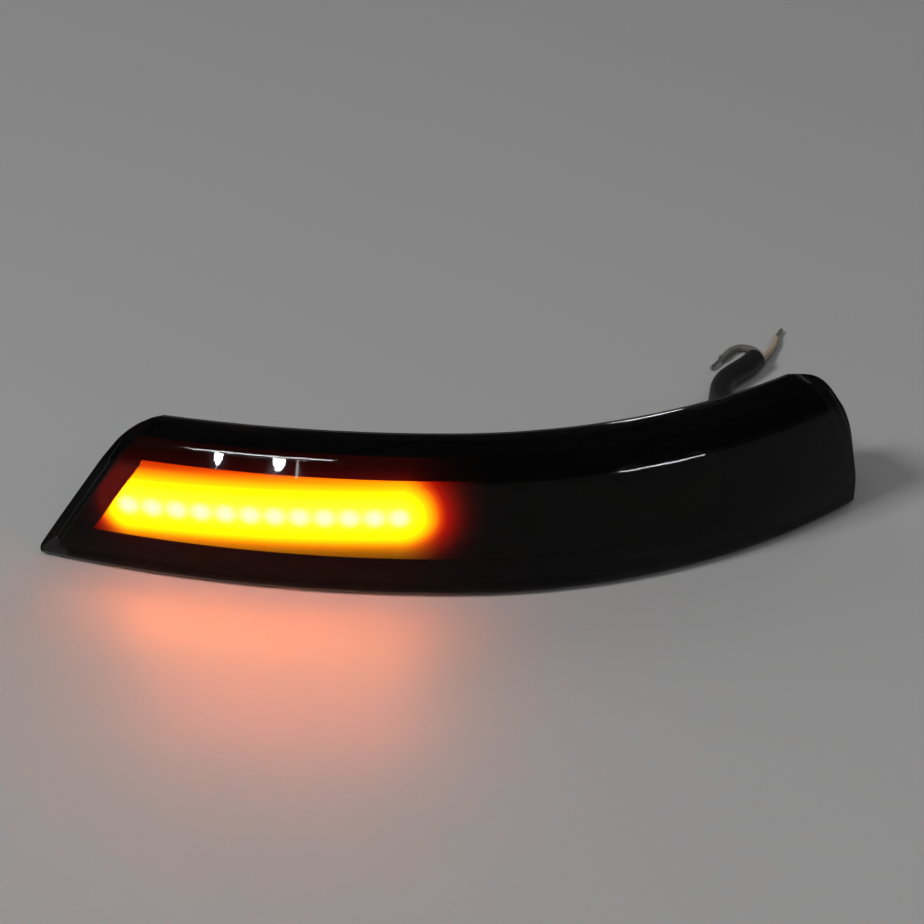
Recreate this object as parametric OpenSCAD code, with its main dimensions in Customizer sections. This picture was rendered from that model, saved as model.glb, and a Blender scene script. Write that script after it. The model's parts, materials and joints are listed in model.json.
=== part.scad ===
// Side repeater lamp of a door mirror. A smoked lens closes a black rear housing; behind the lens a
// black bezel frames an opal diffuser, lit by a row of light emitting diodes in a white tray.
// The lamp stands on its lower rim and faces -Y. Its plan follows two arcs that are tangent at the
// nose. Depth is measured from the front face towards the centre of the arc, height from the rim.

/* [Plan] */
// Radius of the front face to the left of the nose
left_radius = 240; // [225:1:280]
// Radius of the front face to the right of the nose
right_radius = 121; // [116:1:140]
// Reach of the tip to the left of the nose
left_reach = 76.6; // [74:0.1:80]
// Reach of the right end from the nose
right_reach = 77.6; // [76:0.1:80]

/* [Ends] */
// Slope at which the ends run down to the back
end_tilt = 38; // [34:0.5:42]
// Height of the blunt tip at the left
tip_height = 2.7; // [1.8:0.1:4]
// Lean of the left end away from the vertical
left_slant = 35; // [32:0.2:36]
// Height of the straight heel at the right
heel_height = 6.4; // [4:0.1:9]
// Height where the right end turns in
knuckle_height = 20.2; // [17:0.1:23]
// Lean of the right end below the knuckle
right_lean = 11.3; // [8:0.1:14]
// Lean of the right end above the knuckle
knuckle_lean = 31; // [26:0.5:36]
// Corner radius of the tip
tip_corner = 2; // [1:0.1:3]
// Corner radius at the upper left
left_corner = 14; // [10:0.5:15]
// Corner radius at the upper right
right_corner = 5; // [3:0.5:7]
// Radius of the bends of the right end
right_bend = 16; // [8:1:18]

/* [Front section] */
// Overall height
height = 30.4; // [30:0.1:32]
// Height of the lower band of the lens
band_height = 7.4; // [5:0.1:9]
// Drop of the crease above the window below the top
crease_drop = 5.4; // [4.6:0.1:6.2]
// Drop of the shoulder line below the top
shoulder_drop = 1.9; // [1.5:0.1:2.3]
// Lean of the face between the lower band and the crease
face_lean = 4; // [2:0.2:6]
// Lean of the band between the crease and the shoulder line
band_lean = 30; // [26:0.5:33]
// Depth of the top edge behind the front
top_depth = 8.4; // [7.6:0.1:8.6]
// Radius along the lower front edge
rim_round = 2.2; // [1.5:0.1:2.6]
// Radius along the crease and the shoulder line
crease_round = 1.2; // [0.6:0.1:1.6]

/* [Walls] */
// Wall of the lens
lens_wall = 2; // [1.8:0.1:2.2]
// Depth of the lens behind the front
lens_depth = 9; // [8.8:0.1:9.6]
// Depth of the sealing bead between lens and housing
seal_depth = 0.5; // [0.3:0.1:0.8]
// Wall of the rear housing
housing_wall = 1.8; // [1.6:0.1:2]
// Depth of the lamp from front to back, straight through
body_depth = 17; // [16.6:0.1:19]
// Slope of the housing's top below the horizontal
housing_slope = 48; // [44:1:52]
// Clearance all round between nested pieces
nest_gap = 0.15; // [0.1:0.05:0.25]
// Clearance between pieces that seat on each other
seat_gap = 0.05; // [0.02:0.01:0.1]

/* [Bezel and tray] */
// Wall of the bezel
bezel_wall = 1.1; // [0.9:0.1:1.3]
// Depth of the bezel behind the front
bezel_depth = 6.2; // [6:0.1:6.5]
// Distance of the window's lower edge above the lower band
window_low_gap = 0.2; // [0:0.1:1.4]
// Distance of the window's upper edge below the crease
window_high_gap = 0.8; // [0.6:0.1:2.4]
// Width of the black border between lens edge and window at the left
window_border = 5.7; // [5.6:0.1:7]
// Reach of the window beyond the tray's right end
window_over = 2.5; // [2:0.1:3]
// Corner radius of the window
window_corner = 2; // [1:0.1:3]
// Depth of the diffuser's back behind the front
diffuser_back = 5.7; // [5.5:0.1:5.8]
// Overlap of the diffuser's flange behind the bezel
diffuser_lap = 1; // [0.8:0.1:1.2]
// Wall of the reflector tray
tray_wall = 1; // [0.8:0.1:1.2]
// Distance between the tray's back and the back of the housing
tray_clear = 4.7; // [4.5:0.1:5]
// Height of the tray's back
tray_back_height = 13.6; // [13:0.1:14]

/* [Lights and boards] */
// Spacing of the diodes along the board
led_pitch = 4.38; // [4.3:0.01:5]
// Distance of the first diode from the tray's left end
led_clear = 0.8; // [0.5:0.1:3]
// Drop of the row of diodes below the middle of the window
led_drop = 1.1; // [0:0.1:1.6]
// Size of a diode along the board
led_width = 3.5; // [2.8:0.1:3.6]
// Size of a diode across the board
led_size = 2.8; // [2.2:0.1:3.5]
// Thickness of a diode
led_thick = 0.8; // [0.6:0.1:1]
// Thickness of the boards
board_thick = 1; // [0.8:0.1:1.2]
// Height of the diode board
board_height = 11; // [10:0.1:11.4]
// Reach of the diode board beyond the tray's right end
board_overhang = 3.7; // [3.2:0.1:4.4]
// Length of the control board
control_length = 22; // [20:0.1:24]
// Height of the control board
control_height = 13; // [12:0.1:14]
// Distance of the control board's right end from the lamp's right end
control_inset = 10.2; // [10:0.1:11]
// Thickness of the link between the boards
link_thick = 0.3; // [0.2:0.05:0.4]

/* [Fastening] */
// Diameter of the inner screws
screw_d = 1.8; // [1.6:0.1:2]
// Diameter of their heads
screw_head_d = 3.4; // [3.2:0.1:3.5]
// Diameter of the inner bosses
boss_d = 4.2; // [4:0.1:4.4]
// Diameter of the pilot hole in each mounting boss
mount_hole_d = 2.5; // [2:0.1:3]
// Diameter of each mounting boss
mount_boss_d = 6.5; // [6:0.1:7.5]
// Height of the mounting bosses' axis
mount_height = 9.5; // [8.5:0.1:10.5]
// Length of each mounting boss behind the housing
mount_length = 7; // [5:0.1:9]
// Distance of the left mounting boss from the left tip
mount_left_inset = 24.6; // [23:0.1:28]
// Place of the middle mounting boss, right of the nose
mount_middle = 8; // [-4:0.5:10]
// Distance of the right mounting boss from the right end
mount_right_inset = 43.6; // [42:0.1:46]

/* [Lead] */
// Diameter of the lead's black sleeve
sleeve_d = 4.6; // [4:0.1:5]
// Diameter of one wire with its insulation
wire_d = 1.5; // [1.3:0.1:1.6]
// Diameter of a bare wire end
strand_d = 0.9; // [0.7:0.1:1]
// Distance of the lead's exit to the left of the control board's middle, along the board
exit_along = 5.3; // [5:0.1:5.8]
// Height of the lead's exit
exit_z = 7.6; // [7.2:0.1:8]

/* [Hidden] */
$fn = 48;
sweep_fn = 360;
round_steps = 4;
tiny = 0.01;
far = 90;

// Heights of the lines on the front and of the window, and the greatest depth that is swept
crease_height = height - crease_drop;
shoulder_height = height - shoulder_drop;
window_bottom = band_height + window_low_gap;
window_top = crease_height - window_high_gap;
deepest = body_depth + 9;

// The lens face steps back by these depths at the crease and the shoulder line
face_back = (crease_height - band_height) * tan(face_lean);
band_back = face_back + (shoulder_height - crease_height) * tan(band_lean);
housing_front = lens_depth + seal_depth;
slope_fall = (deepest - housing_front) * tan(housing_slope);

// Section of the front as [depth, height], anticlockwise, and the radius of each of its corners
front_section = [[0, 0], [deepest, 0], [deepest, height], [top_depth, height],
    [band_back, shoulder_height], [face_back, crease_height], [0, band_height]];
front_rounds = [rim_round, 0, 0, crease_round, crease_round, crease_round, 0];
// Section of the housing, whose top slopes down to the back
housing_section = [[0, 0], [deepest, 0], [deepest, height - slope_fall], [housing_front, height]];
housing_rounds = [0, 0, 0, 0];

// Each end is an outline of [x, z], drawn in the upright plane where the front ends there. Its slanted
// edge runs on to a corner that lies a little above the lamp's top
function arc_radius(x) = x < 0 ? left_radius : right_radius;
function front_y(x) = arc_radius(x) - sqrt(pow(arc_radius(x), 2) - x * x);
left_plane = front_y(-left_reach);
right_plane = front_y(right_reach);
left_top = height + 1.2;
right_top = height + 0.4;
left_outline = [[-left_reach, -far], [far, -far], [far, 2 * left_top],
    [-left_reach + (left_top - tip_height) * tan(left_slant), left_top], [-left_reach, tip_height]];
left_rounds = [0, 0, 0, left_corner, tip_corner];
knuckle_x = right_reach - (knuckle_height - heel_height) * tan(right_lean);
right_outline = [[-far, -far], [right_reach, -far], [right_reach, heel_height], [knuckle_x, knuckle_height],
    [knuckle_x - (right_top - knuckle_height) * tan(knuckle_lean), right_top], [-far, right_top]];
right_rounds = [0, 0, right_bend, right_bend, right_corner, 0];

// Nested pieces lie at these distances inside the outer surface
bezel_in = lens_wall + 2 * nest_gap;
spigot_in = lens_wall + nest_gap;
spigot_wall = 1.2;
spigot_front = bezel_depth + 2 * nest_gap;
root_depth = 1.2;

// Heights and depths of the reflector tray, and its section
led_height = (window_bottom + window_top) / 2 - led_drop;
tray_back = body_depth - tray_clear;
tray_front = diffuser_back + seat_gap;
tray_back_low = led_height - tray_back_height / 2;
tray_section = [[tray_front, window_bottom - diffuser_lap], [tray_back, tray_back_low],
    [tray_back, tray_back_low + tray_back_height], [tray_front, window_top + diffuser_lap]];
tray_margin = window_border - spigot_in - spigot_wall - nest_gap;

// Depth of the diode board's front, and of the link between the boards
board_front = tray_back - tray_wall - board_thick - seat_gap;
link_front = board_front - link_thick;

// The flat control board bears on the link where it laps the diode board, and ends near the lamp's end.
// Its back lies at this distance from the centre of the right arc, turned by this angle
link_lap = 2.4;
half_control = control_length / 2;
link_radius = right_radius - link_front;
control_radius = sqrt(pow(link_radius + seat_gap, 2) - pow(half_control - link_lap, 2));
control_angle = asin((right_reach - control_inset) / norm([control_radius, half_control]))
    - atan(half_control / control_radius);

// Place along X of a point of the control board at a distance left of its middle
function lap_x(s) = link_radius * sin(control_angle - atan(s / control_radius));

// Right ends of the diode board, the tray and the window
board_right = lap_x(half_control - link_lap);
tray_right = board_right - board_overhang;
window_right = tray_right + window_over;

// Outline of the window in the bezel as [x, z]; its left end follows the lamp's left end
window = [[-2 * far, window_bottom], [window_right, window_bottom], [window_right, window_top],
    [-2 * far, window_top]];
window_rounds = [0, window_corner, window_corner, 0];

// Place along X of the lamp's left end, moved in by one distance, at a place along Y and a height
function left_x(y, z, dist) = dist * norm([1, tan(left_slant) / cos(end_tilt)]) - left_reach
    + (z - tip_height + (y - left_plane) * tan(end_tilt)) * tan(left_slant);

// Place along X of the first diode, settled in a few steps, because the board bows back with X
function first_x(x, steps) = steps == 0 ? x : first_x(led_clear + led_width / 2
    + left_x(front_y(x) + board_front, led_height + led_size / 2, window_border - tray_margin + tray_wall),
    steps - 1);

// Length along the diode board from the nose to a place along X
function along_board(x) = let (r = arc_radius(x) - board_front) asin(x / r) * r * PI / 180;

// The tray holds as many diodes as fit between the first one and its right end
led_start = -along_board(first_x(-left_reach, 5));
led_end = along_board(tray_right) - tray_wall - led_width / 2;
led_count = floor((led_start + led_end) / led_pitch) + 1;
led_cup_d = 2.1;
led_cup = 0.25;

// Lugs of the tray, in front of the tray's back, and their screws
lug_places = [36.6 - left_reach, right_reach - 49.6];
lug_height = 5.3;
lug_width = 6.4;
lug_low = 3.5;
lug_thick = 1.6;
lug_step = 0.8;
function lug_back(x) = front_y(x) + tray_back - lug_step;
screw_grip = 3.8;
board_grip = 2.2;
pilot_spare = 0.4;
head_height = 1.1;
slot_width = 0.5;
slot_length = 2;

// Mounting bosses along X, and their ribs
mount_places = [mount_left_inset - left_reach, mount_middle, right_reach - mount_right_inset];
mount_rib_reach = 2.2;
mount_rib_thick = 1.2;
mount_rib_drop = 1.5;

// Screws of the control board, right of its middle and as heights about it
control_screw_x = half_control - 2.6;
control_screw_z = control_height / 2 - 2.3;
control_screws = [-control_screw_z, control_screw_z];

// Spring hooks behind the housing: places along X, height below the top of the back, and sizes
back_top = height - (body_depth - housing_front) * tan(housing_slope);
hook_places = [-24, right_reach - 15.6];
hook_z = back_top - 6.6;
hook_width = 7;
hook_thick = 1.8;
hook_length = 5.4;
hook_barb = 1.4;
hook_nose = 2.6;

// The exit of the lead and the grommet in it
exit_x = control_radius * sin(control_angle) - exit_along * cos(control_angle);
gland_bore = 7;
gland_boss_d = 10;
gland_boss_length = 4;
gland_boss_root = 4;
grommet_flange_d = 9.4;
grommet_flange = 1.4;
grommet_nose = 8;
grommet_lip = 0.6;
sleeve_fit = 0.05;
sleeve_grip = 4.6;

// Solder joints on the back of the control board, in line with the exit: along it and as height
solder_pitch = 2.3;
solder_plus_x = -exit_along;
solder_minus_x = solder_pitch - exit_along;
solder_z = -4.2;
solder_height = 0.6;
solder_d = 2.2;
solder_top_d = 1.6;

// Shift of each wire from the lead's middle
wire_side = wire_d / 2 + 0.05;
wire_gap = 0.06;

// The origin is under the middle of the lamp without its lead
function heel_x(y) = right_reach - max(0, (y - right_plane) * tan(end_tilt) - heel_height) * tan(right_lean);
back_y = front_y(heel_x(front_y(right_reach) + body_depth)) + body_depth;
origin = [(right_reach - left_reach) / 2, back_y / 2, 0];

// The gland's boss ends here, and the sleeve begins inside it
gland_end = front_y(exit_x) + body_depth + gland_boss_length;
sleeve_in = gland_end - sleeve_grip;

// Point behind the control board: along it, behind its back face, and as height about its middle
function control_point(x, y, z) = [x * cos(control_angle) + (control_radius - y) * sin(control_angle),
    right_radius + x * sin(control_angle) - (control_radius - y) * cos(control_angle), led_height + z];

// Points that the lead follows, counted from the end of the gland and, as heights, from the table
function from_exit(route) = [for (p = route) [exit_x + p.x, gland_end + p.y, p.z]];
sleeve_route = from_exit([[0, -sleeve_grip, exit_z], [0, 9.6, exit_z], [0, 14, 6.6], [0.1, 18.5, 4.8],
    [0.5, 23, 3.2], [1.1, 26.5, 2.5], [1.6, 29.5, 2.4], [2.2, 32.5, 2.4], [3.5, 35.1, 2.4],
    [5.5, 37.3, 2.4], [8.1, 39.9, 2.4], [10.1, 42.5, 2.4]]);
plus_route = from_exit([[10.85, 42.2, 2.2], [11.6, 43.3, 2], [12.8, 45.4, 1.5], [13.9, 47.8, 1],
    [15, 50.3, 0.9], [15.7, 52.7, 0.9]]);
minus_route = from_exit([[9.65, 43.2, 2.2], [10.5, 44.4, 1.9], [11, 46.6, 1.3], [9.9, 48.6, 0.9],
    [7.7, 49.2, 0.9], [5.7, 48.1, 0.9], [4.5, 46.5, 0.9], [3.3, 44.9, 0.9]]);
plus_tip = from_exit([[15.75, 52.9, 0.9], [16.4, 54.7, 0.8], [17.3, 56.7, 0.6]]);
minus_tip = from_exit([[3.2, 44.75, 0.9], [2.1, 43.2, 0.8], [0.9, 41.8, 0.6]]);

// Points of an inner wire: out of the sleeve, round a bend, and straight onto its solder joint
function inner_route(x, start, rise, solder_x) = [[x, sleeve_in - wire_gap, exit_z],
    [x, sleeve_in - 0.7, exit_z], [x, sleeve_in - start, exit_z + rise],
    control_point(solder_x, 2, solder_z), control_point(solder_x, solder_height + wire_gap, solder_z)];
inner_plus_route = inner_route(exit_x - wire_side, 1.9, 0.9, solder_plus_x);
inner_minus_route = inner_route(exit_x + wire_side, 1.5, 1, solder_minus_x);

led_names = [for (i = [1 : led_count]) str("led_", i < 10 ? "0" : "", i)];

function unit(v) = v / norm(v);

// Point where the line through p along u meets the line through q along v
function meet(p, u, q, v) = p + u * cross(q - p, v) / cross(u, v);

// Convex anticlockwise outline with every edge moved inwards by its own distance
function inset_each(pts, dists) = [for (i = [0 : len(pts) - 1])
    let (n = len(pts), j = (i + n - 1) % n,
        u = unit(pts[i] - pts[j]), v = unit(pts[(i + 1) % n] - pts[i]))
    meet(pts[i] + dists[j] * [-u.y, u.x], u, pts[i] + dists[i] * [-v.y, v.x], v)];
function inset(pts, dist) = inset_each(pts, [for (p = pts) dist]);
function seen(pts) = [for (p = pts) [p.x, p.y * cos(end_tilt)]];
function smaller(rounds, dist) = [for (r = rounds) r > 0 ? max(r - dist, 0.3) : 0];

// Tangent points and disc centre of one rounded corner
function corner(a, b, c, r) = let (u = unit(a - b), v = unit(c - b), half = acos(u * v) / 2)
    [b + u * r / tan(half), b + v * r / tan(half), b + unit(u + v) * r / sin(half)];

// Points along the arc between two tangent points
function arc_points(a, b, centre) = let (from = a - centre, to = b - centre,
        turn = acos(min(1, unit(from) * unit(to))))
    [for (k = [0 : round_steps]) let (t = turn * k / round_steps)
        centre + (sin(turn - t) * from + sin(t) * to) / sin(turn)];

// Convex outline with rounded corners
function rounded_points(pts, rounds) = [for (i = [0 : len(pts) - 1])
    let (n = len(pts), k = corner(pts[(i + n - 1) % n], pts[i], pts[(i + 1) % n], rounds[i]))
    each rounds[i] > 0 ? arc_points(k[0], k[1], k[2]) : [pts[i]]];
module rounded(pts, rounds) {
    polygon(rounded_points(pts, rounds));
}

// Carries a section of [depth, height] round one of the two arcs of the plan
module sweep_side(side) {
    radius = side < 0 ? left_radius : right_radius;
    reach = side < 0 ? left_reach : right_reach;
    angle = asin(min(1, reach / (radius - deepest)));
    mirror([side < 0 ? 1 : 0, 0, 0])
        translate([0, radius, 0])
            rotate([0, 0, -90])
                rotate_extrude(angle = angle, $fn = sweep_fn)
                    translate([radius, 0])
                        mirror([1, 0])
                            children();
}

module sweep() {
    for (side = [-1, 1])
        sweep_side(side)
            children();
}

// Carries an outline of [x, z] straight through the lamp from front to back
module through() {
    translate([0, far + deepest, 0])
        rotate([90, 0, 0])
            linear_extrude(far + 2 * deepest)
                children();
}

// Carries an outline that is seen along the slope of the ends, down to the back
module down_back(plane) {
    translate([0, plane, 0])
        rotate([90 - end_tilt, 0, 0])
            translate([0, 0, -far])
                linear_extrude(2 * far)
                    children();
}

// All that lies between the two ends, each moved in by one distance
module left_of_end(dist) {
    down_back(left_plane)
        rounded(inset(seen(left_outline), dist), smaller(left_rounds, dist));
}
module ends(dist) {
    intersection() {
        left_of_end(dist);
        down_back(right_plane)
            rounded(inset(seen(right_outline), dist), smaller(right_rounds, dist));
    }
}

// Keeps a section between two depths
module between(from, to) {
    intersection() {
        children();
        translate([from, -far])
            square([to - from, 2 * far]);
    }
}

// Room inside the lamp's skin: the front, the rims and the ends are all moved in by one distance
module room(dist, from, to) {
    intersection() {
        sweep()
            between(from, to)
                rounded(inset(front_section, dist), smaller(front_rounds, dist));
        ends(dist);
    }
}

// Housing room: as above with the sloping top, up to the curved back
module back_room(dist, from) {
    intersection() {
        for (side = [-1, 1])
            difference() {
                sweep_side(side)
                    between(from, deepest)
                        rounded(inset(housing_section, dist), housing_rounds);
                radius = side < 0 ? left_radius : right_radius;
                translate([0, radius + body_depth, -far])
                    cylinder(r = radius + dist, h = 2 * far, $fn = sweep_fn);
            }
        ends(dist);
    }
}

// Places a piece at an arc length from the nose and a depth, facing out
module on_arc(arc, depth) {
    radius = arc < 0 ? left_radius : right_radius;
    translate([0, radius, 0])
        rotate([0, 0, arc / (radius - depth) * 180 / PI])
            translate([0, depth - radius, 0])
                children();
}

// Places a piece on the back of the control board, whose length runs along X
module on_control() {
    translate([0, right_radius, 0])
        rotate([0, 0, control_angle])
            translate([0, -control_radius, led_height])
                children();
}

// Cylinder from y = 0 towards +Y
module rod(d, length) {
    rotate([-90, 0, 0])
        cylinder(d = d, h = length);
}

module lens_shell() {
    color([0.05, 0.05, 0.06, 0.8])
        difference() {
            room(0, -1, lens_depth);
            room(lens_wall, -1, lens_depth + 1);
        }
}

module lens_seal() {
    color("dimgray")
        difference() {
            room(seat_gap, lens_depth + tiny, housing_front - tiny);
            room(lens_wall - seat_gap, lens_depth - 1, housing_front + 1);
        }
}

module inner_bezel() {
    color([0.08, 0.08, 0.08])
        difference() {
            room(bezel_in, 0, bezel_depth);
            room(bezel_in + bezel_wall, 0, bezel_depth + 1);
            window_room(0);
        }
}

// Room of the window, smaller all round by one distance
module window_room(dist) {
    intersection() {
        through()
            rounded(inset(window, dist), window_rounds);
        left_of_end(window_border + dist);
    }
}

module diffuser_bar() {
    flange_in = bezel_in + bezel_wall + seat_gap;
    color([1, 0.75, 0.2])
        union() {
            intersection() {
                room(bezel_in, 0, diffuser_back);
                window_room(nest_gap);
            }
            intersection() {
                room(flange_in, 0, diffuser_back);
                window_room(-diffuser_lap);
            }
        }
}

module reflector_tray() {
    color("white")
        difference() {
            union() {
                intersection() {
                    sweep()
                        polygon(tray_section);
                    tray_length(tray_right, tray_margin);
                }
                for (x = lug_places)
                    tray_lug(x);
            }
            intersection() {
                sweep()
                    polygon(inset_each(tray_section, [tray_wall, tray_wall, tray_wall, -tray_wall]));
                tray_length(far, tray_margin - tray_wall);
            }
            for (x = lug_places)
                translate([x, 0, lug_height])
                    rod(screw_d + 2 * nest_gap, far);
        }
}

// Stretch of the tray: up to a place at the right, and out to a margin beyond the window at the left
module tray_length(right, margin) {
    intersection() {
        translate([-2 * far, -far, -far])
            cube([2 * far + right, 3 * far, 2 * far]);
        left_of_end(window_border - margin);
    }
}

// Lug below the tray that takes a screw
module tray_lug(x) {
    translate([x - lug_width / 2, lug_back(x) - lug_thick, lug_low])
        cube([lug_width, lug_thick, window_bottom + tray_wall - lug_low]);
}

module led_board() {
    color("ivory")
        intersection() {
            sweep()
                translate([board_front, led_height - board_height / 2])
                    square([board_thick, board_height]);
            tray_length(board_right, tray_margin - tray_wall - nest_gap);
        }
}

// Diode with a shallow cup for its light source
module led(i) {
    color([1, 0.85, 0.3])
        on_arc(i * led_pitch - led_start, board_front)
            translate([0, -led_thick - tiny, led_height])
                difference() {
                    translate([-led_width / 2, 0, -led_size / 2])
                        cube([led_width, led_thick, led_size]);
                    translate([0, -tiny, 0])
                        rod(led_cup_d, led_cup + tiny);
                }
}

module rear_housing() {
    color([0.12, 0.12, 0.13])
        difference() {
            union() {
                difference() {
                    union() {
                        back_room(0, housing_front);
                        room(spigot_in, spigot_front, housing_front + root_depth / 2);
                        mounting_bosses();
                        gland_boss();
                        snap_hooks();
                    }
                    room(spigot_in + spigot_wall, spigot_front - 1, housing_front + root_depth);
                    back_room(housing_wall, housing_front + root_depth - tiny);
                }
                inner_bosses();
            }
            inner_pilots();
            translate([exit_x, 0, exit_z])
                rod(gland_bore, far);
            for (x = mount_places)
                translate([x, front_y(x) + body_depth + 0.2, mount_height])
                    rod(mount_hole_d, far);
        }
}

// Round posts behind the housing that take screws from inside the mirror
module mounting_bosses() {
    for (x = mount_places) {
        back = front_y(x) + body_depth;
        translate([x, back - housing_wall, mount_height]) {
            rod(mount_boss_d, mount_length + housing_wall);
            for (turn = [30, 150, 270])
                rotate([0, turn, 0])
                    mount_rib();
        }
    }
}

// Rib that braces a mounting boss, from its axis outwards
module mount_rib() {
    foot = mount_boss_d / 2 + mount_rib_reach;
    top = housing_wall + mount_length - mount_rib_drop;
    translate([0, 0, -mount_rib_thick / 2])
        linear_extrude(mount_rib_thick)
            polygon([[0, 0], [foot, 0], [foot, housing_wall + 1],
                [mount_boss_d / 2, top], [0, top]]);
}

module gland_boss() {
    translate([exit_x, gland_end - gland_boss_length - gland_boss_root, exit_z])
        rod(gland_boss_d, gland_boss_length + gland_boss_root);
}

// Spring hooks behind the housing that snap into the mirror, with a thicker foot and a barbed tip
module snap_hooks() {
    for (x = hook_places)
        translate([x + hook_width / 2, front_y(x) + body_depth, hook_z])
            rotate([0, -90, 0])
                linear_extrude(hook_width)
                    polygon([[-hook_barb, -housing_wall], [hook_thick + hook_barb, -housing_wall],
                        [hook_thick + hook_barb, 0], [hook_thick, hook_barb], [hook_thick, hook_length],
                        [hook_thick + hook_barb, hook_length], [hook_thick / 2, hook_length + hook_nose],
                        [0, hook_length + hook_nose], [0, hook_barb], [-hook_barb, 0]]);
}

// Bosses inside the housing for the screws of the tray and of the control board, up to its back wall
module inner_bosses() {
    intersection() {
        union() {
            for (x = lug_places)
                translate([x, lug_back(x) + seat_gap, lug_height])
                    rod(boss_d, far);
            on_control()
                for (z = control_screws)
                    translate([control_screw_x, seat_gap, z])
                        rod(boss_d, far);
        }
        back_room(housing_wall / 2, housing_front);
    }
}

module inner_pilots() {
    for (x = lug_places)
        translate([x, lug_back(x), lug_height])
            rod(screw_d, screw_grip + pilot_spare);
    on_control()
        for (z = control_screws)
            translate([control_screw_x, -tiny, z])
                rod(screw_d, board_grip + pilot_spare);
}

// Pan head screw whose head bears at y = 0 and whose shank runs along +Y
module screw(length) {
    color("silver")
        difference() {
            union() {
                translate([0, -head_height, 0])
                    rod(screw_head_d, head_height);
                rod(screw_d - 2 * seat_gap, length);
            }
            for (turn = [0, 90])
                rotate([0, turn, 0])
                    translate([-slot_length / 2, -head_height - tiny, -slot_width / 2])
                        cube([slot_length, head_height / 2, slot_width]);
        }
}

module tray_screw(x) {
    translate([x, lug_back(x) - lug_thick - seat_gap, lug_height])
        screw(lug_thick + screw_grip);
}

module board_screw(z) {
    on_control()
        translate([control_screw_x, -board_thick - seat_gap, z])
            screw(board_thick + board_grip);
}

module control_board() {
    color("darkgreen")
        on_control()
            difference() {
                translate([-control_length / 2, -board_thick, -control_height / 2])
                    cube([control_length, board_thick, control_height]);
                for (z = control_screws)
                    translate([control_screw_x, -board_thick - tiny, z])
                        rod(screw_d + 2 * nest_gap, board_thick + 1);
            }
}

// Thin strip that joins the two boards where they lap
module board_link() {
    color("gold")
        intersection() {
            sweep_side(1)
                translate([link_front + seat_gap / 2, led_height - 4])
                    square([link_thick - seat_gap, 8]);
            translate([lap_x(half_control), 0, 0])
                cube([board_right - lap_x(half_control) - seat_gap, far, far]);
        }
}

// Box on the front of the control board. Its middle is given as shares of the board's length and height
module component(along_share, up_share, size) {
    middle = [along_share * control_length, up_share * control_height];
    on_control()
        translate([middle.x - size.x / 2, -board_thick - size.y - tiny, middle.y - size.z / 2])
            cube(size);
}

module driver_chip() color([0.1, 0.1, 0.1]) component(-0.14, 0.2, [5, 1.5, 4]);
module voltage_regulator() color([0.15, 0.15, 0.15]) component(0.145, -0.215, [4, 1.5, 3.6]);
module input_diode() color([0.1, 0.1, 0.1]) component(-0.1, -0.26, [4.2, 1.6, 2.4]);
module input_capacitor() color("tan") component(0.14, 0.28, [3.2, 1.4, 2.4]);
module output_capacitor() color("tan") component(-0.375, 0.28, [3.2, 1.4, 2.4]);
module resistor(i) color("black") component(-0.39 + 0.08 * (i % 2), -0.09 - 0.22 * floor(i / 2), [1, 0.5, 2]);

module cable_grommet() {
    color([0.1, 0.1, 0.1])
        translate([exit_x, 0, exit_z])
            difference() {
                union() {
                    translate([0, sleeve_in, 0])
                        rod(gland_bore - 2 * seat_gap, sleeve_grip + grommet_flange / 2);
                    translate([0, gland_end + seat_gap, 0])
                        rod(grommet_flange_d, grommet_flange);
                    translate([0, gland_end + grommet_flange, 0])
                        rotate([-90, 0, 0])
                            cylinder(d1 = gland_bore, d2 = sleeve_d + 2 * grommet_lip, h = grommet_nose);
                }
                rod(sleeve_d + 2 * sleeve_fit, far);
            }
}

// Directions along a route, and a ring of points square to it
function along(route, i) = unit(route[min(i + 1, len(route) - 1)] - route[max(i - 1, 0)]);
function ring(centre, dir, r, sides, aside) =
    let (u = unit(cross(dir, aside)), v = cross(u, dir))
    [for (k = [0 : sides - 1]) centre + r * (cos(360 * k / sides) * u + sin(360 * k / sides) * v)];

// Tube that follows a route
module tube(route, d, sides = 8, aside = [0, 0, 1]) {
    n = len(route);
    points = [for (i = [0 : n - 1]) each ring(route[i], along(route, i), d / 2, sides, aside)];
    sides_faces = [for (i = [0 : n - 2]) for (k = [0 : sides - 1]) each
        let (a = i * sides + k, b = i * sides + (k + 1) % sides)
        [[a, b, b + sides], [a, b + sides, a + sides]]];
    start = [for (k = [0 : sides - 1]) sides - 1 - k];
    end = [for (k = [0 : sides - 1]) (n - 1) * sides + k];
    polyhedron(points, concat(sides_faces, [start, end]));
}

module lead_sleeve() color([0.08, 0.08, 0.08]) tube(sleeve_route, sleeve_d, 12);
module lead_wire_plus() color("tan") tube(plus_route, wire_d);
module lead_wire_minus() color("lightgray") tube(minus_route, wire_d);
module bare_end_plus() color("silver") tube(plus_tip, strand_d);
module bare_end_minus() color("silver") tube(minus_tip, strand_d);
module inner_wire_plus() color("tan") tube(inner_plus_route, wire_d, 8, [1, 0, 0]);
module inner_wire_minus() color("lightgray") tube(inner_minus_route, wire_d, 8, [1, 0, 0]);

// Drop of solder on the back of the control board where an inner wire ends
module solder(x) {
    color("silver")
        on_control()
            translate([x, tiny, solder_z])
                rotate([-90, 0, 0])
                    cylinder(d1 = solder_d, d2 = solder_top_d, h = solder_height);
}

module placed() {
    translate(-origin)
        children();
}

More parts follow.
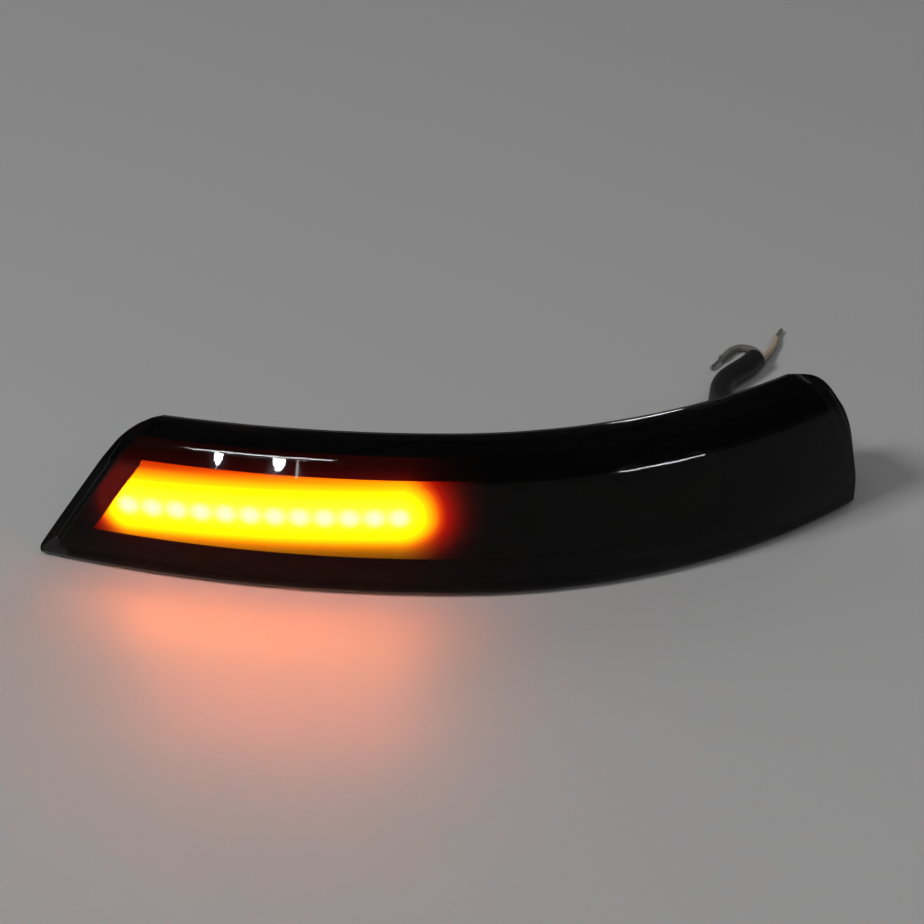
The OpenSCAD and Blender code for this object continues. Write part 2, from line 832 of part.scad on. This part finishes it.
placed() lens_shell();
placed() rear_housing();
placed() lens_seal();
placed() inner_bezel();
placed() diffuser_bar();
placed() reflector_tray();
placed() led_board();
for (i = [0 : led_count - 1])
    placed() led(i);
placed() control_board();
placed() board_link();
placed() driver_chip();
placed() voltage_regulator();
placed() input_diode();
placed() input_capacitor();
placed() output_capacitor();
for (i = [0 : 3])
    placed() resistor(i);
placed() tray_screw(lug_places[0]);  // tray_screw_left
placed() tray_screw(lug_places[1]);  // tray_screw_right
placed() board_screw(control_screws[1]);  // board_screw_upper
placed() board_screw(control_screws[0]);  // board_screw_lower
placed() cable_grommet();
placed() lead_sleeve();
placed() inner_wire_plus();
placed() inner_wire_minus();
placed() solder(solder_plus_x);  // solder_plus
placed() solder(solder_minus_x);  // solder_minus
placed() lead_wire_plus();
placed() lead_wire_minus();
placed() bare_end_plus();
placed() bare_end_minus();
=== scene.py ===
import json
import math
import bpy
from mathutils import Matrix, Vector


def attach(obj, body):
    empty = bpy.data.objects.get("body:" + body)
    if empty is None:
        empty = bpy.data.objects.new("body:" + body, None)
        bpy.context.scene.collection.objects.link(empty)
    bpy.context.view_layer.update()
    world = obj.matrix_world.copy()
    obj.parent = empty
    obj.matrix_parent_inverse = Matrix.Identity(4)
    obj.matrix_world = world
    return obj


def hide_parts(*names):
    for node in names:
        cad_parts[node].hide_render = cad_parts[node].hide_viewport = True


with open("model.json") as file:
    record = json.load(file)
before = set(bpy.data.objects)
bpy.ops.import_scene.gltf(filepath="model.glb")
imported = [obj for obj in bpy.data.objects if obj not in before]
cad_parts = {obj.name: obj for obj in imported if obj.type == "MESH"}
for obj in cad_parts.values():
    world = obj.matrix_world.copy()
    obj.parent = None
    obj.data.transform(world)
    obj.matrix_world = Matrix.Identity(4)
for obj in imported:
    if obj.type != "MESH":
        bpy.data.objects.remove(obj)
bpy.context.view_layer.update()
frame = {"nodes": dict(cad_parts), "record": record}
nodes = frame["nodes"]
scene = bpy.context.scene
mm = 0.001
mmPerMetre = 1000.0

# The frame's origin in millimetres from the lamp's nose, the point that every place below is counted from
frameOrigin = (0.5, 22.014, 0.0)


def fromNose(x, y, z):
    o = frameOrigin
    return Vector(((x - o[0]) * mm, (y - o[1]) * mm, (z - o[2]) * mm))


def aimAt(obj, place):
    obj.rotation_euler = (place - obj.location).to_track_quat("-Z", "Y").to_euler()


# Camera: straight in front of the lamp, 36 degrees above the table
camera = {
    "eye": (2.2, -321.4, 264.5), "target": (2.2, 42.7, 0.0),   # in millimetres from the nose
    "lens": 88.5, "sensorWidth": 36.0, "nearest": 0.01,
}
cameraData = bpy.data.cameras.new("camera")
cameraData.lens = camera["lens"]
cameraData.sensor_width = camera["sensorWidth"]
cameraData.clip_start = camera["nearest"]
cameraObject = bpy.data.objects.new("camera", cameraData)
scene.collection.objects.link(cameraObject)
cameraObject.location = fromNose(*camera["eye"])
aimAt(cameraObject, fromNose(*camera["target"]))
scene.camera = cameraObject
print("camera is placed")


# Small helpers for node trees
def link(tree, a, b):
    tree.links.new(a, b)


# Gives a socket a plain value, or the output of another node
def feed(tree, socket, value):
    if isinstance(value, bpy.types.NodeSocket):
        link(tree, value, socket)
    else:
        socket.default_value = value


def mathNode(tree, op, a, b=None, c=None, clamp=False):
    node = tree.nodes.new("ShaderNodeMath")
    node.operation = op
    node.use_clamp = clamp
    for socket, value in zip(node.inputs, (a, b, c)):
        if value is not None:
            feed(tree, socket, value)
    return node.outputs[0]


# Maps a value smoothly from one pair of ends to another
def rangeNode(tree, value, ends, toEnds):
    node = tree.nodes.new("ShaderNodeMapRange")
    node.interpolation_type = "SMOOTHSTEP"
    for name, end in zip(("From Min", "From Max", "To Min", "To Max"), (*ends, *toEnds)):
        node.inputs[name].default_value = end
    link(tree, value, node.inputs["Value"])
    return node.outputs["Result"]


def rampNode(tree, value, stops):
    node = tree.nodes.new("ShaderNodeValToRGB")
    elements = node.color_ramp.elements
    elements.remove(elements[1])
    elements[0].position, elements[0].color = stops[0][0], (*stops[0][1], 1.0)
    for place, color in stops[1:]:
        elements.new(place).color = (*color, 1.0)
    link(tree, value, node.inputs["Fac"])
    return node.outputs["Color"]


def noiseNode(tree, coords, scale, detail):
    node = tree.nodes.new("ShaderNodeTexNoise")
    node.inputs["Detail"].default_value = detail
    feed(tree, node.inputs["Scale"], scale)
    link(tree, coords, node.inputs["Vector"])
    return node.outputs["Fac"]


def bumpNormal(tree, shader, height, strength, distance):
    node = tree.nodes.new("ShaderNodeBump")
    node.inputs["Strength"].default_value = strength
    node.inputs["Distance"].default_value = distance
    link(tree, height, node.inputs["Height"])
    link(tree, node.outputs["Normal"], shader.inputs["Normal"])


def objectCoords(tree):
    return tree.nodes.new("ShaderNodeTexCoord").outputs["Object"]


def newMaterial(name, color, roughness, metallic=0.0):
    mat = bpy.data.materials.new(name)
    mat.use_nodes = True
    shader = mat.node_tree.nodes["Principled BSDF"]
    shader.inputs["Base Color"].default_value = (*color, 1.0)
    shader.inputs["Roughness"].default_value = roughness
    shader.inputs["Metallic"].default_value = metallic
    return mat, mat.node_tree, shader


# A shader group with a Coords input, inputs of one number each, and outputs of one number each
def newGroup(name, inputs, outputs):
    group = bpy.data.node_groups.new(name, "ShaderNodeTree")
    face = group.interface
    face.new_socket("Coords", in_out="INPUT", socket_type="NodeSocketVector")
    for label, value in inputs.items():
        face.new_socket(label, in_out="INPUT", socket_type="NodeSocketFloat").default_value = value
    for label in outputs:
        face.new_socket(label, in_out="OUTPUT", socket_type="NodeSocketFloat")
    groupIn, groupOut = group.nodes.new("NodeGroupInput"), group.nodes.new("NodeGroupOutput")
    return group, groupIn.outputs, groupOut.inputs


def placeGroup(tree, group):
    node = tree.nodes.new("ShaderNodeGroup")
    node.node_tree = group
    link(tree, objectCoords(tree), node.inputs["Coords"])
    return node


# Moulded grain: a fine grain for the bump, and broad clouds for the gloss and the colour
grain = {
    "scale": 900.0, "detail": 3.0, "bumpDistance": 0.0002,
    "cloudScale": 45.0, "cloudDetail": 4.0, "darkCloud": 0.3, "lightCloud": 0.7,
    "roughness": 0.5, "spread": 0.12,
}


def mouldedGrainGroup():
    inputs = {"Scale": grain["scale"], "Base Roughness": grain["roughness"], "Spread": grain["spread"]}
    group, given, result = newGroup("mouldedGrain", inputs, ("Roughness", "Height", "Cloud"))
    fine = noiseNode(group, given["Coords"], given["Scale"], grain["detail"])
    cloud = noiseNode(group, given["Coords"], grain["cloudScale"], grain["cloudDetail"])
    offset = mathNode(group, "SUBTRACT", cloud, 0.5)
    uneven = mathNode(group, "MULTIPLY", offset, given["Spread"])
    link(group, mathNode(group, "ADD", uneven, given["Base Roughness"], clamp=True), result["Roughness"])
    link(group, fine, result["Height"])
    link(group, cloud, result["Cloud"])
    return group


mouldedGrain = mouldedGrainGroup()


# Plastic, rubber or metal with moulded grain: colour clouds, uneven gloss and a fine bump
def grained(name, color, roughness, scale=grain["scale"], bump=0.05, metallic=0.0, tint=0.25):
    mat, tree, shader = newMaterial(name, color, roughness, metallic)
    node = placeGroup(tree, mouldedGrain)
    node.inputs["Scale"].default_value = scale
    node.inputs["Base Roughness"].default_value = roughness
    dark = tuple(c * (1 - tint) for c in color)
    light = tuple(min(1.0, c * (1 + tint)) for c in color)
    clouds = [(grain["darkCloud"], dark), (grain["lightCloud"], light)]
    link(tree, rampNode(tree, node.outputs["Cloud"], clouds), shader.inputs["Base Color"])
    link(tree, node.outputs["Roughness"], shader.inputs["Roughness"])
    bumpNormal(tree, shader, node.outputs["Height"], bump, grain["bumpDistance"])
    return mat


# Smoked lens: dark clear plastic with a polished, slightly wavy face
lens = {
    "color": (0.12, 0.12, 0.125), "roughness": 0.03, "ior": 1.22,
    "hazeScale": 60.0, "hazeDetail": 5.0, "haze": (0.35, 0.7), "hazeRoughness": (0.015, 0.05),
    "waveScale": 28.0, "waveDetail": 1.0, "waveStrength": 0.08, "waveDistance": 0.001,
}


def smokedLens():
    mat, tree, shader = newMaterial("smokedLens", lens["color"], lens["roughness"])
    shader.inputs["Transmission Weight"].default_value = 1.0
    shader.inputs["IOR"].default_value = lens["ior"]
    coords = objectCoords(tree)
    haze = noiseNode(tree, coords, lens["hazeScale"], lens["hazeDetail"])
    link(tree, rangeNode(tree, haze, lens["haze"], lens["hazeRoughness"]), shader.inputs["Roughness"])
    wave = noiseNode(tree, coords, lens["waveScale"], lens["waveDetail"])
    bumpNormal(tree, shader, wave, lens["waveStrength"], lens["waveDistance"])
    return mat


# Light behind the window: a soft band along the row, with a brighter spot before each lit diode
glow = {
    "spotStart": -58.6, "spotPitch": 4.51, "lastSpot": 11,    # along X, in millimetres from the nose
    "spotFade": (0.2, 2.5),                                   # radii between which a spot fades
    "rowLow": 14.3, "rowRise": 0.045,                         # height of the row's start, and its rise along X
    "lower": 6.7, "upper": 9.2, "left": 6.2, "right": 7.7,    # the light's extent from the row, each way
    "underShare": 0.7,                                        # how much of the colour under the row shows
    "strength": 1080.0, "spotStrength": 220.0,                # before the smoked lens dims the light
}


# Reach is the distance from the row of lit diodes, where 1 is the light's extent
def windowGlowGroup():
    inputs = {name: glow[name.lower()] for name in ("Lower", "Upper", "Left", "Right")}
    group, given, result = newGroup("windowGlow", inputs, ("Reach", "Spot", "Below"))
    split = group.nodes.new("ShaderNodeSeparateXYZ")
    link(group, given["Coords"], split.inputs[0])

    def calc(op, a, b=None, c=None):
        return mathNode(group, op, a, b, c)

    def positive(value):
        return calc("MAXIMUM", value, 0.0)

    def negative(value):
        return positive(calc("MULTIPLY", value, -1.0))

    def diagonal(a, b):
        return calc("SQRT", calc("ADD", calc("MULTIPLY", a, a), calc("MULTIPLY", b, b)))

    x = calc("MULTIPLY_ADD", split.outputs["X"], mmPerMetre, frameOrigin[0])
    z = calc("MULTIPLY", split.outputs["Z"], mmPerMetre)
    fromStart = calc("SUBTRACT", x, glow["spotStart"])
    up = calc("SUBTRACT", z, calc("MULTIPLY_ADD", fromStart, glow["rowRise"], glow["rowLow"]))
    fromEnd = calc("SUBTRACT", fromStart, glow["lastSpot"] * glow["spotPitch"])
    above = calc("DIVIDE", positive(up), given["Upper"])
    below = calc("DIVIDE", negative(up), given["Lower"])
    left = calc("DIVIDE", negative(fromStart), given["Left"])
    right = calc("DIVIDE", positive(fromEnd), given["Right"])
    height, past = calc("ADD", above, below), calc("ADD", left, right)
    link(group, diagonal(height, past), result["Reach"])
    within = mathNode(group, "SUBTRACT", 1.0, past, clamp=True)
    link(group, calc("MULTIPLY", calc("MULTIPLY", below, glow["underShare"]), within), result["Below"])
    phase = calc("DIVIDE", fromStart, glow["spotPitch"])
    nearest = calc("MINIMUM", positive(calc("ROUND", phase)), glow["lastSpot"])
    side = calc("MULTIPLY", calc("SUBTRACT", phase, nearest), glow["spotPitch"])
    link(group, rangeNode(group, diagonal(side, up), glow["spotFade"], (1.0, 0.0)), result["Spot"])
    return group


windowGlow = windowGlowGroup()


# Reach as a share of the place where the light has faded out
def shareOfReach(tree, light, end):
    return mathNode(tree, "DIVIDE", light.outputs["Reach"], end, clamp=True)


# Level of the light along that share, from stops of reach and level
def fallingLevel(tree, share, end, stops):
    return rampNode(tree, share, [(at / end, (level, level, level)) for at, level in stops])


# Diffuser: an opal bar that is lit from behind; its emission is the painted glow of the diodes behind it
diffuser = {
    "color": (0.035, 0.022, 0.012), "roughness": 0.35, "specular": 0.1, "reach": 2.2,
    # reach, with the green and the blue that go with full red there
    "tints": [(0, 0.14, 0.0068), (0.26, 0.14, 0.0012), (0.5, 0.15, 0), (0.64, 0.2, 0), (0.85, 0.2, 0),
              (0.94, 0.09, 0), (1.1, 0.01, 0)],
    # reach, with the level of the light there
    "fall": [(0, 1), (0.26, 0.62), (0.5, 0.1), (0.64, 0.031), (0.83, 0.0123), (0.94, 0.0066), (1.12, 0.0029),
             (1.3, 0.0013), (1.5, 0.00044), (1.66, 0.00016), (1.9, 0.00004), (2.2, 0)],
    # yellower under the row, and paler at the spots
    "shades": {"Below": (1.0, 0.36, 0.0), "Spot": (1.0, 0.3, 0.028)},
}


def litDiffuser():
    mat, tree, shader = newMaterial("litDiffuser", diffuser["color"], diffuser["roughness"])
    shader.inputs["Specular IOR Level"].default_value = diffuser["specular"]
    light, end = placeGroup(tree, windowGlow), diffuser["reach"]
    share = shareOfReach(tree, light, end)
    color = rampNode(tree, share, [(at / end, (1.0, green, blue)) for at, green, blue in diffuser["tints"]])
    for output, shade in diffuser["shades"].items():
        mix = tree.nodes.new("ShaderNodeMix")
        mix.data_type = "RGBA"
        link(tree, light.outputs[output], mix.inputs["Factor"])
        link(tree, color, mix.inputs["A"])
        mix.inputs["B"].default_value = (*shade, 1.0)
        color = mix.outputs["Result"]
    link(tree, color, shader.inputs["Emission Color"])
    level = fallingLevel(tree, share, end, diffuser["fall"])
    spots = mathNode(tree, "MULTIPLY", light.outputs["Spot"], glow["spotStrength"])
    strength = mathNode(tree, "MULTIPLY_ADD", level, glow["strength"], spots)
    link(tree, strength, shader.inputs["Emission Strength"])
    return mat


# Bezel round the window: its emission is a painted red glow, for the little red light that it catches close to the
# lit bar
bezel = {
    "color": (0.012, 0.012, 0.013), "roughness": 0.3, "scale": 700.0, "bump": 0.04, "specular": 0.1,
    "light": (1.0, 0.03, 0.015), "strength": 0.7, "reach": 2.5,
    "fall": [(0.85, 1), (0.95, 0.5), (1.05, 0.24), (1.25, 0.1), (1.5, 0.04), (1.9, 0.01), (2.4, 0)],
}


def litBezel():
    mat = grained("blackBezel", bezel["color"], bezel["roughness"], bezel["scale"], bezel["bump"])
    tree = mat.node_tree
    shader = tree.nodes["Principled BSDF"]
    shader.inputs["Specular IOR Level"].default_value = bezel["specular"]
    # Painted glow: emission that stands for the red light falling on the bezel from the lit bar
    shader.inputs["Emission Color"].default_value = (*bezel["light"], 1.0)
    share = shareOfReach(tree, placeGroup(tree, windowGlow), bezel["reach"])
    level = fallingLevel(tree, share, bezel["reach"], bezel["fall"])
    link(tree, mathNode(tree, "MULTIPLY", level, bezel["strength"]), shader.inputs["Emission Strength"])
    return mat


# Grained finishes of the other pieces: colour, roughness and what differs from the usual grain
grainedFinishes = {
    "blackHousing": {"color": (0.028, 0.028, 0.03), "roughness": 0.42, "scale": 1400.0, "bump": 0.12},
    "sealBead": {"color": (0.02, 0.02, 0.02), "roughness": 0.6, "scale": 300.0, "bump": 0.3},
    "whiteTray": {"color": (0.86, 0.86, 0.84), "roughness": 0.35, "tint": 0.05},
    "whiteBoard": {"color": (0.84, 0.84, 0.8), "roughness": 0.45, "tint": 0.06},
    "greenBoard": {"color": (0.02, 0.16, 0.06), "roughness": 0.4, "tint": 0.15},
    "copperLink": {"color": (0.8, 0.48, 0.26), "roughness": 0.3, "metallic": 1.0, "tint": 0.1},
    "chipBlack": {"color": (0.03, 0.03, 0.03), "roughness": 0.55, "scale": 2500.0, "bump": 0.2},
    "capacitorTan": {"color": (0.6, 0.45, 0.3), "roughness": 0.5, "tint": 0.1},
    "screwSteel": {"color": (0.66, 0.66, 0.68), "roughness": 0.28, "metallic": 1.0, "tint": 0.06},
    "blackRubber": {"color": (0.006, 0.006, 0.0065), "roughness": 0.5, "scale": 1100.0, "bump": 0.15},
    "wireTan": {"color": (0.25, 0.2, 0.15), "roughness": 0.38, "tint": 0.12},
    "wireGrey": {"color": (0.09, 0.088, 0.085), "roughness": 0.38, "tint": 0.12},
    "tinnedEnd": {"color": (0.72, 0.71, 0.69), "roughness": 0.3, "metallic": 1.0, "scale": 2600.0,
                  "bump": 0.4, "tint": 0.08},
    "diodeBody": {"color": (0.9, 0.78, 0.3), "roughness": 0.3, "tint": 0.08},
}
finishes = {name: grained(name, **look) for name, look in grainedFinishes.items()}
finishes.update({"smokedLens": smokedLens(), "litDiffuser": litDiffuser(), "blackBezel": litBezel()})

# The finish that each slot of the record stands for
finishOf = {
    "smoked_lens": "smokedLens", "black_housing": "blackHousing", "seal": "sealBead",
    "black_bezel": "blackBezel", "opal_diffuser": "litDiffuser", "white_tray": "whiteTray",
    "white_board": "whiteBoard", "green_board": "greenBoard", "copper_link": "copperLink",
    "chip_black": "chipBlack", "capacitor_tan": "capacitorTan", "screw_steel": "screwSteel",
    "black_rubber": "blackRubber", "wire_tan": "wireTan", "wire_grey": "wireGrey", "tin": "tinnedEnd",
    "led_body": "diodeBody",
}


def setMaterial(obj, mat):
    obj.data.materials.clear()
    obj.data.materials.append(mat)
    for poly in obj.data.polygons:
        poly.material_index = 0


for part in frame["record"]["subparts"]:
    setMaterial(nodes[part["node"]], finishes[finishOf[part["material_slot"]]])
print("finishes are set on", len(nodes), "nodes")


# Routes of the lead are in millimetres: counted from the end of the gland, and as heights from the table
def fromExit(route):
    return [Vector((lead["exit"][0] + x, lead["exit"][1] + y, z)) for x, y, z in route]


# A smooth curve through all the points of a route, with so many steps from point to point
def smoothRoute(points, steps):
    pts = [2 * points[0] - points[1]] + points + [2 * points[-1] - points[-2]]
    out = []
    for i in range(1, len(pts) - 2):
        a, b, c, d = pts[i - 1:i + 3]
        first, second, third = c - a, 2 * a - 5 * b + 4 * c - d, 3 * b - a - 3 * c + d
        for k in range(steps):
            t = k / steps
            out.append(0.5 * ((2 * b) + first * t + second * t ** 2 + third * t ** 3))
    return out + [pts[-2]]


# A round tube along a route, made with a tree of geometry nodes and kept as a plain mesh
def tubeTree():
    tree = bpy.data.node_groups.new("tubeAlongRoute", "GeometryNodeTree")
    face = tree.interface
    face.new_socket("Geometry", in_out="INPUT", socket_type="NodeSocketGeometry")
    face.new_socket("Radius", in_out="INPUT", socket_type="NodeSocketFloat").default_value = 0.001
    face.new_socket("Sides", in_out="INPUT", socket_type="NodeSocketInt").default_value = 24
    face.new_socket("Finish", in_out="INPUT", socket_type="NodeSocketMaterial")
    face.new_socket("Geometry", in_out="OUTPUT", socket_type="NodeSocketGeometry")
    treeIn, treeOut = tree.nodes.new("NodeGroupInput"), tree.nodes.new("NodeGroupOutput")
    toCurve = tree.nodes.new("GeometryNodeMeshToCurve")
    circle = tree.nodes.new("GeometryNodeCurvePrimitiveCircle")
    toMesh = tree.nodes.new("GeometryNodeCurveToMesh")
    toMesh.inputs["Fill Caps"].default_value = True
    shade = tree.nodes.new("GeometryNodeSetShadeSmooth")
    real = tree.nodes.new("GeometryNodeRealizeInstances")
    finish = tree.nodes.new("GeometryNodeSetMaterial")
    link(tree, treeIn.outputs["Geometry"], toCurve.inputs["Mesh"])
    link(tree, treeIn.outputs["Radius"], circle.inputs["Radius"])
    link(tree, treeIn.outputs["Sides"], circle.inputs["Resolution"])
    link(tree, toCurve.outputs["Curve"], toMesh.inputs["Curve"])
    link(tree, circle.outputs["Curve"], toMesh.inputs["Profile Curve"])
    link(tree, toMesh.outputs["Mesh"], shade.inputs["Geometry"])
    link(tree, shade.outputs["Geometry"], real.inputs["Geometry"])
    link(tree, real.outputs["Geometry"], finish.inputs["Geometry"])
    link(tree, treeIn.outputs["Finish"], finish.inputs["Material"])
    link(tree, finish.outputs["Geometry"], treeOut.inputs["Geometry"])
    return tree


routeTree = tubeTree()


def treeInput(tree, name):
    return next(s.identifier for s in tree.interface.items_tree if s.name == name and s.in_out == "INPUT")


def bakeTree(obj, name):
    deps = bpy.context.evaluated_depsgraph_get()
    mesh = bpy.data.meshes.new_from_object(obj.evaluated_get(deps))
    piece = bpy.data.objects.new(name, mesh)
    scene.collection.objects.link(piece)
    bpy.data.objects.remove(obj)
    return piece


# One tube, or several side by side, along routes given in millimetres from the nose
def tubePiece(name, routes, diameter, mat, sides):
    mesh = bpy.data.meshes.new(name + "Route")
    points, edges = [], []
    for route in routes:
        edges += [(len(points) + i, len(points) + i + 1) for i in range(len(route) - 1)]
        points += [tuple(fromNose(*p)) for p in route]
    mesh.from_pydata(points, edges, [])
    source = bpy.data.objects.new(name + "Source", mesh)
    scene.collection.objects.link(source)
    mod = source.modifiers.new("tube", "NODES")
    mod.node_group = routeTree
    mod[treeInput(routeTree, "Radius")] = diameter / 2 * mm
    mod[treeInput(routeTree, "Sides")] = sides
    mod[treeInput(routeTree, "Finish")] = mat
    return bakeTree(source, name)


# Lead: a soft black sleeve, with two wires that come out of its end
lead = {
    "sleeveDiameter": 4.6, "sides": 32, "steps": 10,
    "exit": (53.516, 33.47),                              # end of the gland, in millimetres from the nose
    "route": [(0, -4.6, 7.6), (0, 9.6, 7.6), (0, 14, 6.6), (0.1, 18.5, 4.8), (0.5, 23, 3.2), (1.1, 26.5, 2.5),
              (1.6, 29.5, 2.4), (2.2, 32.5, 2.4), (3.5, 35.1, 2.4), (5.5, 37.3, 2.4), (8.1, 39.9, 2.4),
              (10.1, 42.5, 2.4)],
}
sleevePath = smoothRoute(fromExit(lead["route"]), lead["steps"])
sleeve = tubePiece("sleeve", [sleevePath], lead["sleeveDiameter"], finishes["blackRubber"], lead["sides"])
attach(sleeve, "root")
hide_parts("lead_sleeve")

# Wires in their insulation, and the twisted strands of their bare ends
wires = {
    "diameter": 1.5, "sides": 20, "steps": 8,
    "strand": 0.3, "strands": 6, "strandSides": 8, "strandSteps": 10,
    "twist": 5.0,                                         # in radians, from one end of the strands to the other
    "plus": {
        "finish": "wireTan", "slot": "wire_tan",
        "route": [(10.85, 42.2, 2.2), (11.6, 43.3, 2), (12.8, 45.4, 1.5), (13.9, 47.8, 1), (15, 50.3, 0.9),
                  (15.7, 52.7, 0.9)],
        "tip": [(15.75, 52.9, 0.9), (16.4, 54.7, 0.8), (17.3, 56.7, 0.6)],
    },
    "minus": {
        "finish": "wireGrey", "slot": "wire_grey",
        "route": [(9.65, 43.2, 2.2), (10.5, 44.4, 1.9), (11, 46.6, 1.3), (9.9, 48.6, 0.9), (7.7, 49.2, 0.9),
                  (5.7, 48.1, 0.9), (4.5, 46.5, 0.9), (3.3, 44.9, 0.9)],
        "tip": [(3.2, 44.75, 0.9), (2.1, 43.2, 0.8), (0.9, 41.8, 0.6)],
    },
}


# Strands that turn round a straight one in the middle
def twistedRoutes(route, count, radius, twist):
    out = []
    for k in range(count):
        strand = []
        for i, p in enumerate(route):
            along = (route[min(i + 1, len(route) - 1)] - route[max(i - 1, 0)]).normalized()
            side = along.cross(Vector((0, 0, 1))).normalized()
            up = side.cross(along)
            angle = 2 * math.pi * k / count + twist * i / (len(route) - 1)
            strand.append(p + radius * (math.cos(angle) * side + math.sin(angle) * up))
        out.append(strand)
    return out + [route]


for pole in ("plus", "minus"):
    wire = wires[pole]
    path = smoothRoute(fromExit(wire["route"]), wires["steps"])
    core = tubePiece(pole + "Wire", [path], wires["diameter"], finishes[wire["finish"]], wires["sides"])
    tip = smoothRoute(fromExit(wire["tip"]), wires["strandSteps"])
    strands = twistedRoutes(tip, wires["strands"], wires["strand"], wires["twist"])
    ends = tubePiece(pole + "Strands", strands, wires["strand"], finishes["tinnedEnd"], wires["strandSides"])
    for piece, node, slot in ((core, "lead_wire_" + pole, wire["slot"]), (ends, "bare_end_" + pole, "tin")):
        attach(piece, "root")
        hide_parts(node)
print("lead is laid")

# Table: plain and pale, and it blurs what it mirrors
table = {
    "color": (0.27, 0.27, 0.27), "noiseScale": 9.0, "noiseDetail": 2.0,
    "noise": (0.3, 0.7), "roughness": (0.43, 0.49),
    "reach": 3.0, "drop": 0.0001,                         # half of its width, and its gap under the lamp, in metres
}


def tableTop():
    mat, tree, shader = newMaterial("tableTop", table["color"], table["roughness"][0])
    uneven = noiseNode(tree, objectCoords(tree), table["noiseScale"], table["noiseDetail"])
    link(tree, rangeNode(tree, uneven, table["noise"], table["roughness"]), shader.inputs["Roughness"])
    mesh = bpy.data.meshes.new("tableTop")
    r = table["reach"]
    mesh.from_pydata([(-r, -r, 0), (r, -r, 0), (r, r, 0), (-r, r, 0)], [], [(0, 1, 2, 3)])
    mesh.materials.append(mat)
    top = bpy.data.objects.new("tableTop", mesh)
    scene.collection.objects.link(top)
    top.location.z = -table["drop"]


tableTop()


# Every light is an area light that the camera doesn't see
def areaLight(name, size, power, color=(1.0, 1.0, 1.0), shape="RECTANGLE"):
    data = bpy.data.lights.new(name, "AREA")
    data.shape = shape
    data.size, data.size_y = size
    data.energy = power
    data.color = color
    obj = bpy.data.objects.new(name, data)
    scene.collection.objects.link(obj)
    obj.visible_camera = False
    return obj


# Puts a light at an azimuth, an elevation and a distance in metres from the place that it is aimed at
def placeLight(obj, place, azimuth, elevation, distance):
    az, el = math.radians(azimuth), math.radians(elevation)
    away = Vector((math.sin(az) * math.cos(el), -math.cos(az) * math.cos(el), math.sin(el)))
    obj.location = place + distance * away
    aimAt(obj, place)


# Nothing that mirrors or is clear shows the light itself
def hideInGloss(obj):
    obj.visible_glossy = False
    obj.visible_transmission = False


# Large soft lights of the room, and a small one over the table in front
lampMiddle = (0, 0, 0.015)
softLights = [
    # name, azimuth, elevation, distance, width, power, place that it is aimed at
    ("softKey", -63, 47, 1.5, 0.34, 17, lampMiddle),
    ("softFill", 25, 55, 1.4, 1.2, 4.4, lampMiddle),
    ("backLeft", -140, 40, 1.8, 0.9, 3.4, lampMiddle),
    ("backRight", 140, 40, 1.8, 0.9, 3.4, lampMiddle),
    ("nearFill", -10, 70, 0.42, 0.3, 0.3, (-0.02, -0.14, 0)),
]
for name, azimuth, elevation, distance, width, power, place in softLights:
    soft = areaLight(name, (width, width), power)
    placeLight(soft, Vector(place), azimuth, elevation, distance)
    hideInGloss(soft)

# Panes of light that only the polished lens mirrors, each aimed at the place where the lens shows it
lensOnly = bpy.data.collections.new("lensOnly")
lensOnly.objects.link(nodes["lens_shell"])
paneDistance = 0.9
panes = [
    # name, azimuth, elevation, size, power, place on the lens in millimetres from the nose
    ("widePane", -24, 50, (0.29, 0.12), 7, (-31, 5.4, 28.4)),
    ("paneLeft", -25.3, 22.7, (0.014, 0.02), 0.3, (-41.1, 6.2, 27.4)),
    ("paneMiddle", -18.8, 23.4, (0.024, 0.02), 0.5, (-30.5, 4.7, 27.6)),
    ("paneRight", 39, 4, (0.3, 0.2), 18, (36, 7, 25)),
    ("thinLeft", -29.5, 42, (0.006, 0.36), 0.3, (-44, 7.2, 28)),
    ("thinMiddle", -16.6, 30, (0.005, 0.3), 0.12, (-27, 4.2, 27.8)),
]
for name, azimuth, elevation, size, power, place in panes:
    pane = areaLight(name, size, power, shape="ELLIPSE")
    placeLight(pane, fromNose(*place), azimuth, elevation, paneDistance)
    pane.light_linking.receiver_collection = lensOnly

# Light that the lit window throws on the table in front of it
throwTurn = -8                                            # degrees about Z, along the window
throws = [
    # name, size, power, colour, place in millimetres from the nose, tilt in degrees from straight down
    ("thrownNear", (0.064, 0.008), 0.012, (1.0, 0.14, 0.0), (-34, -3, 16), 40),
    ("thrownFar", (0.044, 0.018), 0.0028, (1.0, 0.11, 0.0), (-27, -31, 12), 0),
]
for name, size, power, color, place, tilt in throws:
    thrown = areaLight(name, size, power, color)
    thrown.location = fromNose(*place)
    thrown.rotation_euler = (math.radians(tilt), 0, math.radians(throwTurn))
    hideInGloss(thrown)

# Even light of the room
room = {"color": (0.5, 0.5, 0.5), "strength": 0.16}
world = bpy.data.worlds.new("room")
scene.world = world
world.use_nodes = True
sky = world.node_tree.nodes["Background"]
sky.inputs["Color"].default_value = (*room["color"], 1.0)
sky.inputs["Strength"].default_value = room["strength"]
scene.view_settings.view_transform = "Standard"
print("lamps are lit")
